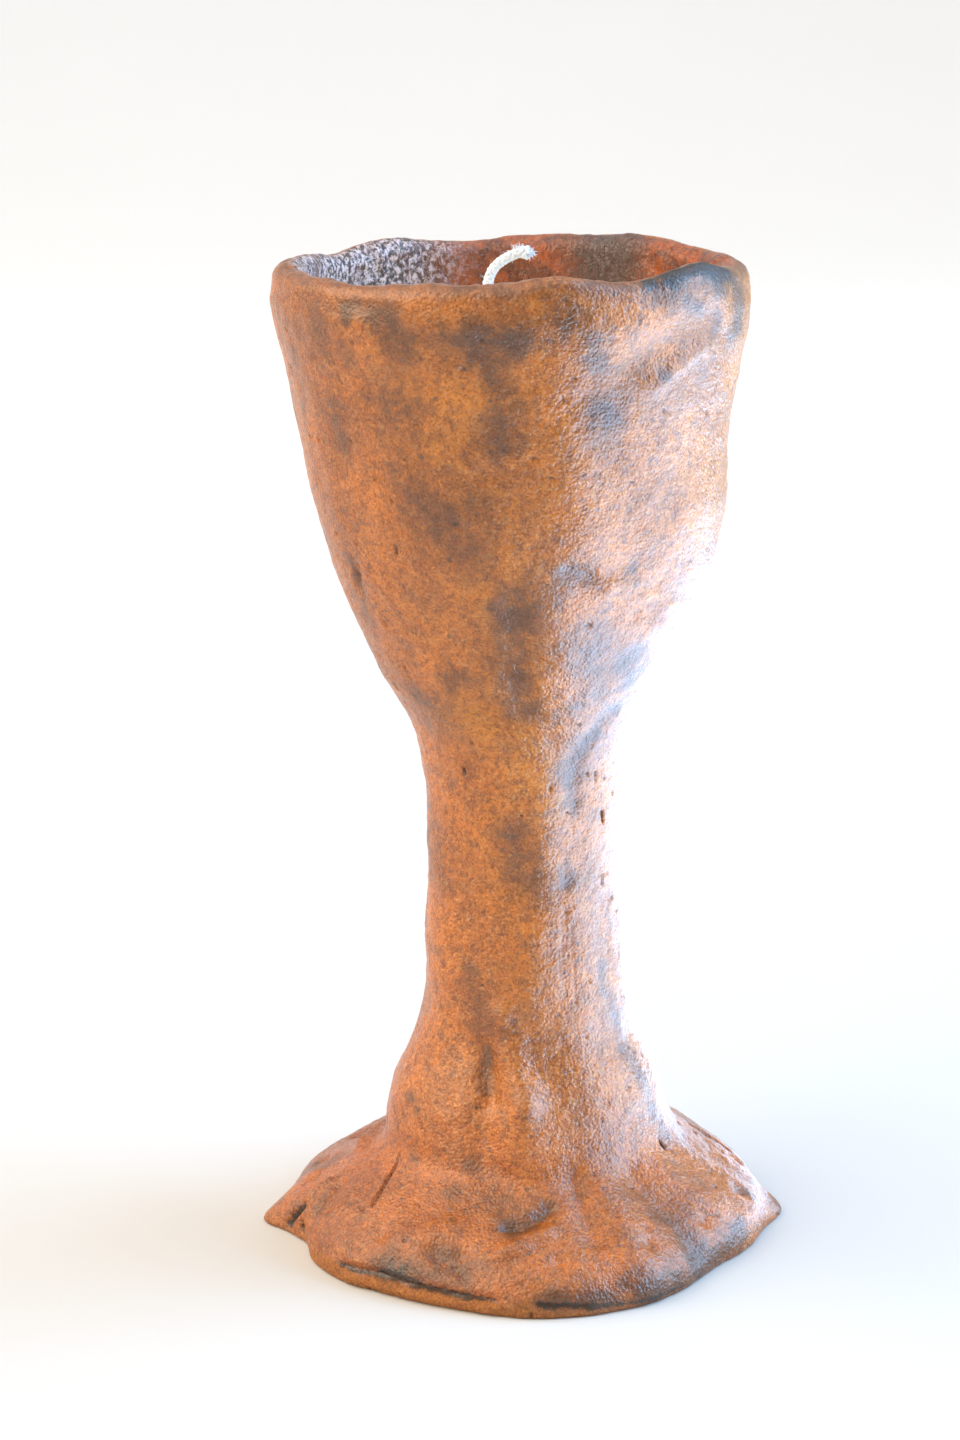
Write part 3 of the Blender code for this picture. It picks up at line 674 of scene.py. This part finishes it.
# ---------------------------------------------------------------- camera
CAMERA_PLACE = Vector((-8.5, -607.0, 245.0)) * MM
CAMERA_PITCH = math.radians(13.7)

camera = bpy.data.objects.new("camera", bpy.data.cameras.new("camera"))
camera.data.sensor_fit = "VERTICAL"
camera.data.sensor_height = 36.0
camera.data.lens = 85.0
camera.location = CAMERA_PLACE
camera.rotation_euler = (math.pi / 2.0 - CAMERA_PITCH, 0.0, 0.0)
bpy.context.scene.collection.objects.link(camera)
bpy.context.scene.camera = camera


# ---------------------------------------------------------------- wick
WICK_STEP = 0.14                 # between the rings of a strand
WICK_STRANDS = 8
STRAND_SIDES = 7
STRAND_RADIUS = 0.34
BRAID_RADIUS = 0.56
BRAID_PITCH = 4.4
BRAID_WEAVE = 0.10               # how far a strand goes over and under the others
FRAYED_END = 2.2                 # length of the end where the strands spread
TUFT_FIBRES = 260
FUZZ_FIBRES = 90
FIBRE_POINTS = 6
FIBRE_SIDES = 5
# Where the frayed end parts: steps back from the tip, direction, length
TUFT_LOBES = (
    ((14, 22), (-0.2, 0.0, 1.0), 1.55), ((1, 12), (1.0, 0.0, 0.45), 1.15),
    ((1, 12), (0.8, 0.0, -0.6), 1.1), ((10, 22), (0.1, -0.3, 0.9), 1.4),
    ((4, 20), (0.3, 0.4, 0.8), 1.1), ((4, 20), (0.3, -0.7, 0.4), 1.0),
)


def wick_line(step):
    """Points along the wick's middle above the tab's neck, their directions, and how far along each is."""
    keys = np.column_stack((np.arange(len(WICK_ROUTE)), WICK_ROUTE))
    fine = np.linspace(0.0, len(WICK_ROUTE) - 1.0, 1500)
    line = np.stack((smooth_value(keys, fine, 1), 0.0 * fine, smooth_value(keys, fine, 2)), axis=1)
    line = line[line[:, 2] >= WICK_EXIT]
    along = np.concatenate(([0.0], np.cumsum(np.linalg.norm(np.diff(line, axis=0), axis=1))))
    places = np.linspace(0.0, along[-1], round(along[-1] / step) + 1)
    points = np.stack([np.interp(places, along, line[:, i]) for i in range(3)], axis=1)
    ahead = np.gradient(points, axis=0)
    return points, ahead / np.linalg.norm(ahead, axis=1)[:, None], places


def tube(points, radii, sides, first):
    """Vertices and faces of a tube around a line, with its ends closed. The faces count from first."""
    ahead = np.gradient(points, axis=0)
    ahead /= np.linalg.norm(ahead, axis=1)[:, None] + 1e-9
    across = np.cross(ahead, (0.0, 1.0, 0.02))
    across /= np.linalg.norm(across, axis=1)[:, None] + 1e-9
    over = np.cross(across, ahead)
    turn = np.linspace(0.0, 2.0 * math.pi, sides, endpoint=False)
    ring = np.cos(turn)[None, :, None] * across[:, None] + np.sin(turn)[None, :, None] * over[:, None]
    verts = (points[:, None] + ring * np.asarray(radii)[:, None, None]).reshape(-1, 3)
    index = first + np.arange(len(verts)).reshape(len(points), sides)
    upper, lower = index[:-1], index[1:]
    quads = np.stack((upper, lower, np.roll(lower, -1, 1), np.roll(upper, -1, 1)), axis=-1)
    return verts, quads.reshape(-1, 4).tolist() + [index[0].tolist(), index[-1][::-1].tolist()]


def braid_strand(strand, points, ahead, places, cut):
    """Middle and radius of one yarn, which winds around the wick and weaves through the other way's yarns."""
    across = np.tile((0.0, 1.0, 0.0), (len(points), 1))
    over = np.cross(ahead, across)
    left = places[-1] - places
    way = 1.0 if strand % 2 else -1.0
    turns = 2.0 * math.pi * places / BRAID_PITCH
    turn = 2.0 * math.pi * strand / WICK_STRANDS + way * turns
    weave = BRAID_WEAVE * np.sin(WICK_STRANDS / 2.0 * turns + strand * math.pi / 2.0)
    radius = (BRAID_RADIUS + weave * way) * (1.0 + 0.75 * ease(1.0 - left / FRAYED_END))
    line = points + radius[:, None] * (np.cos(turn)[:, None] * across + np.sin(turn)[:, None] * over)
    line = line + 0.03 * noise(line, 0.5, strand)[:, None]
    thick = STRAND_RADIUS * (1.0 + 0.12 * noise(line, 0.9, 3.0 + strand)) * (1.0 - 0.45 * ease(1.0 - left))
    return line[:len(line) - cut], thick[:len(line) - cut]


def tuft_fibre(rng, number, points):
    """Root, direction, length and radius of a fibre in one lobe of the frayed end."""
    back, lobe, reach = TUFT_LOBES[number % len(TUFT_LOBES)]
    root = points[-int(rng.integers(*back))] + rng.normal(0.0, 0.24, 3)
    way = np.array(lobe) + 0.34 * rng.normal(0.0, 1.0, 3)
    return root, way, rng.uniform(0.5, 1.0) * reach, rng.uniform(0.06, 0.13)


def fuzz_fibre(rng, points, ahead):
    """The same for a fine stray fibre on the side of the wick."""
    place = int(len(points) - rng.integers(8, 105))
    side = rng.normal(0.0, 1.0, 3)
    side -= ahead[place] * side.dot(ahead[place])
    side /= np.linalg.norm(side)
    way = 0.5 * side + 0.9 * ahead[place] * rng.choice((-1.0, 1.0)) + rng.normal(0.0, 0.3, 3)
    return points[place] + 0.6 * side, way, rng.uniform(0.5, 1.4), rng.uniform(0.018, 0.03)


def make_wick(finish):
    """Maypole braid of eight yarns with loose fibres, ending in a frayed tuft."""
    rng = np.random.default_rng(5)
    points, ahead, places = wick_line(WICK_STEP)
    verts, faces, total = [], [], 0

    def add_tube(line, radii, sides):
        nonlocal total
        tube_verts, tube_faces = tube(line, radii, sides, total)
        verts.append(tube_verts)
        faces.extend(tube_faces)
        total += len(tube_verts)

    for strand in range(WICK_STRANDS):
        add_tube(*braid_strand(strand, points, ahead, places, int(rng.integers(0, 5))), STRAND_SIDES)
    t = np.linspace(0.0, 1.0, FIBRE_POINTS)[:, None]
    for number in range(TUFT_FIBRES + FUZZ_FIBRES):
        tuft = number < TUFT_FIBRES
        root, way, length, thick = tuft_fibre(rng, number, points) if tuft else fuzz_fibre(rng, points, ahead)
        bend = rng.normal(0.0, 0.28, 3) - np.array((0.0, 0.0, 0.12))
        line = root + length * (way / np.linalg.norm(way) * t + bend * t * t)
        add_tube(line, thick * np.linspace(1.0, 0.35, FIBRE_POINTS), FIBRE_SIDES)
    mesh = bpy.data.meshes.new("wick_braid")
    mesh.from_pydata((np.concatenate(verts) * MM).tolist(), [], faces)
    mesh.shade_smooth()
    wick = add_piece(mesh, finish, "wick")


make_wick(braided_cotton())


# ---------------------------------------------------------------- clay
HEEL_TOP = 0.8                   # where the lower edge of the foot begins to round
AXIS_GAP = 0.6                   # radius of the last ring of a wall that closes on the axis
# Between rings of points: on the lip, on the bowl, on the stem and foot, and across an end hidden in a joint
LIP_SPACING = 0.45
BOWL_SPACING = 0.48
STEM_SPACING = 0.40
END_SPACING = 3.0
# Points in a ring
BOWL_TURNS = 400
STEM_TURNS = 400
FOOT_TURNS = 500


def bowl_profile():
    wall_top = LIP_HEIGHT - LIP_ROUNDING
    middle = outer_radius(wall_top) - LIP_ROUNDING
    turn = np.linspace(0.0, math.pi, 60)
    lip = np.stack((middle - LIP_ROUNDING * np.cos(turn), wall_top + LIP_ROUNDING * np.sin(turn)), axis=1)
    inside = [(radius, height) for height, radius in BOWL_INSIDE]
    seen = spaced([inside[-1], lip[0]], LIP_SPACING)
    below = spaced([(AXIS_GAP, BOWL_INSIDE[0][0])] + inside, 7.0)
    outside = spaced(tucked_line(wall_top, BOWL_JOINT, below=JOINT_OVERLAP), BOWL_SPACING)
    base = spaced([outside[-1], (AXIS_GAP, outside[-1][1])], 4.0)
    return join_sections((below, 0.0), (seen, fade(seen[:, 1], 170.0, 172.0)),
                         (spaced(lip, LIP_SPACING), 1.0), (outside, 1.0), (base, 0.0))


def stem_profile():
    outside = spaced(tucked_line(BOWL_JOINT, FOOT_JOINT, JOINT_OVERLAP, JOINT_OVERLAP), STEM_SPACING)
    inside = outside[::-7] - (STEM_WALL, 0.0)
    bottom = spaced([outside[-1], inside[0]], END_SPACING)
    top = spaced([inside[-1], outside[0]], END_SPACING)
    return join_sections((outside, 1.0), (bottom, 0.0), (inside, 0.3), (top, 0.0))[:-1]


def foot_profile():
    outside = spaced(tucked_line(FOOT_JOINT, HEEL_TOP, above=JOINT_OVERLAP), STEM_SPACING)
    edge = outside[-1][0]
    heel = spaced([(edge, HEEL_TOP), (edge - 0.12, 0.35), (edge - 0.5, 0.06), (edge - 1.0, 0.0)], 0.3)
    under = spaced([heel[-1], (edge - FOOT_WALL, 0.0)], 0.9)
    coarse = outer_line(FOOT_JOINT, 3.5)[::33]
    along = np.gradient(coarse, axis=0)
    normal = np.stack((along[:, 1], -along[:, 0]), axis=1)
    hollow = coarse + FOOT_WALL * normal / np.linalg.norm(normal, axis=1)[:, None]
    hollow[0] = (outside[0][0] - STEM_WALL, FOOT_JOINT)
    hollow = spaced(np.vstack((under[-1:], hollow[::-1])), 1.1)
    top = spaced([hollow[-1], outside[0]], END_SPACING)
    return join_sections((outside, 1.0), (heel, np.linspace(1.0, 0.0, len(heel))), (under, 0.0),
                         (hollow, np.minimum(hollow[:, 1] / 3.0, 0.5)), (top, 0.0))[:-1]


clay_piece("bowl_pinched", "bowl", bowl_profile(), BOWL_TURNS, stoneware("bowl_stoneware"), True)
clay_piece("stem_rolled", "stem", stem_profile(), STEM_TURNS, stoneware("stem_stoneware"))
clay_piece("foot_skirt", "foot", foot_profile(), FOOT_TURNS, stoneware("foot_stoneware"))


# ---------------------------------------------------------------- wax
WAX_TURNS = 180
WAX_FLOOR = 106.3
WAX_GAP = 0.3                    # between the wax below its top and the clay


def wax_top(radius, edge):
    """Height of the wax at a radius: a slow sink towards the middle, and a meniscus at the wall and wick."""
    from_wall = edge - radius
    sink = 0.3 * ease(from_wall / 8.0)
    return WAX_LEVEL - 0.4 + 0.7 * np.exp(-from_wall / 0.8) - sink + 0.9 * np.exp(-radius / 1.1)


def make_wax(finish):
    """The candle's body. It follows the clay at the wall and the wick's route in the middle."""
    wall_heights = np.linspace(WAX_FLOOR, WAX_LEVEL - 0.2, 16)
    wall = np.stack((smooth_value(BOWL_INSIDE, wall_heights, 1) - WAX_GAP, wall_heights), axis=1)
    edge = wall[-1][0] + 0.25
    across = np.linspace(edge, 0.4, 90)
    profile = np.vstack((wall[:-1], np.stack((across, wax_top(across, edge)), axis=1)))
    angle = np.tile(np.linspace(-180.0, 180.0, WAX_TURNS, endpoint=False), len(profile))
    radius, height = np.repeat(profile, WAX_TURNS, axis=0).T
    turn = np.radians(angle)
    straight = WICK_ROUTE[:5, ::-1]
    wick_x = smooth_value(straight, np.clip(height, straight[0, 0], straight[-1, 0]), 1)
    core = np.stack((wick_x + radius * np.cos(turn), radius * np.sin(turn), height), axis=1)
    points = core + (hand_shape(radius, angle, height) - core) * fade(radius, 7.0, 13.0)[:, None]
    on_top = np.repeat(np.arange(len(profile)) >= len(wall) - 1, WAX_TURNS)
    points[:, 2] += layered_noise(points, WAX_RIPPLES) * on_top
    mesh = grid_mesh("wax_poured", points, len(profile), WAX_TURNS, True)
    add_piece(mesh, finish, "wax_fill")


make_wax(candle_wax())

for node, finish in (("wick_tab", pressed_tin()), ("wick_sticker", foam_adhesive())):
    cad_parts[node].data.materials.clear()
    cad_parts[node].data.materials.append(finish)


# ---------------------------------------------------------------- floor and light, in metres
CURVE_START = 1.6                # metres behind the goblet, where the paper begins to rise
CURVE_RADIUS = 1.4
PAPER_TOP = 4.0
FRONT_REACH = 9.0                # how far the paper goes towards the camera, and its half width there
HALF_WIDTH = 4.0
# name, place, aim, size, watts, colour. Sill and table stand for the pale things low at the right.
LIGHTS = (
    ("window", (1.24, 0.0, 0.50), (0.0, 0.0, 0.09), (1.3, 1.3), 33.0, (0.42, 0.68, 1.0)),
    ("skylight", (0.9, 0.45, 1.35), (0.0, 0.0, 0.09), (0.9, 0.9), 10.0, (0.48, 0.71, 1.0)),
    ("sill", (0.27, 0.03, 0.0008), (0.27, 0.03, 1.0), (0.44, 0.70), 5.2, (0.40, 0.65, 1.0)),
    ("table", (0.74, 0.32, 0.0008), (0.74, 0.32, 1.0), (0.84, 1.2), 2.8, (0.38, 0.64, 1.0)),
    ("wall", (-1.3, -0.15, 1.0), (0.0, 0.0, 0.08), (2.4, 1.8), 31.0, (1.0, 0.86, 0.66)),
    ("room", (-0.9, -1.6, 0.85), (0.0, 0.0, 0.09), (2.2, 1.2), 9.2, (1.0, 0.86, 0.66)),
    ("ceiling", (-0.5, -0.2, 2.0), (0.0, 0.0, 0.0), (3.6, 3.4), 37.0, (1.0, 0.93, 0.84)),
)


def paper_floor():
    """Pale paper, lit a little from within far behind the goblet, and with painted shade darkening it in
    front of the picture.
    """
    p = Paint("paper")
    tooth = p.noise(0.8, 3.0, 0.6)
    depth = p.node("SeparateXYZ", {0: p.place}).outputs[1]
    glow = p.product(p.range(depth, 150.0, 1200.0), 0.405)
    colour = p.mix(p.noise(180.0, 2.0), (0.59, 0.59, 0.59), (0.61, 0.61, 0.61))
    # Painted shade: darker paper in front of the goblet, standing in for less light on the camera's side of
    # the room
    colour = p.mix(p.range(depth, -650.0, -220.0), (0.27, 0.26, 0.25), colour)
    p.set(base_color=colour, roughness=0.9, normal=p.bump(tooth, 0.02),
          emission_color=(1.0, 0.99, 0.98, 1.0), emission_strength=glow)
    return p.material


def make_floor(finish):
    """Paper that runs back from under the goblet and curves up."""
    curve = np.linspace(0.1, math.pi / 2.0, 14)
    rows = [(FRONT_REACH, -FRONT_REACH, 0.0), (HALF_WIDTH, CURVE_START, 0.0)]
    for turn in curve:
        rise = CURVE_RADIUS - CURVE_RADIUS * math.cos(turn)
        rows.append((HALF_WIDTH, CURVE_START + CURVE_RADIUS * math.sin(turn), rise))
    rows.append((HALF_WIDTH, CURVE_START + CURVE_RADIUS, PAPER_TOP))
    verts = [(side * across, y, z) for across, y, z in rows for side in (-1.0, 1.0)]
    faces = [(2 * i, 2 * i + 1, 2 * i + 3, 2 * i + 2) for i in range(len(rows) - 1)]
    mesh = bpy.data.meshes.new("floor")
    mesh.from_pydata(verts, [], faces)
    mesh.shade_smooth()
    mesh.materials.append(finish)
    floor = bpy.data.objects.new("floor", mesh)
    bpy.context.scene.collection.objects.link(floor)


def soft_light(name, place, aim, size, power, colour):
    light = bpy.data.lights.new(name, "AREA")
    light.shape = "ELLIPSE"
    light.size, light.size_y = size
    light.energy = power
    light.color = colour
    made = bpy.data.objects.new(name, light)
    made.location = place
    made.rotation_euler = (Vector(aim) - Vector(place)).to_track_quat("-Z", "Y").to_euler()
    made.visible_camera = False
    bpy.context.scene.collection.objects.link(made)


make_floor(paper_floor())
for settings in LIGHTS:
    soft_light(*settings)
world = bpy.data.worlds.new("room")
world.use_nodes = True
background = world.node_tree.nodes["Background"]
background.inputs["Color"].default_value = (1.0, 0.90, 0.78, 1.0)
background.inputs["Strength"].default_value = 0.2
bpy.context.scene.world = world
bpy.context.scene.view_settings.view_transform = "Standard"
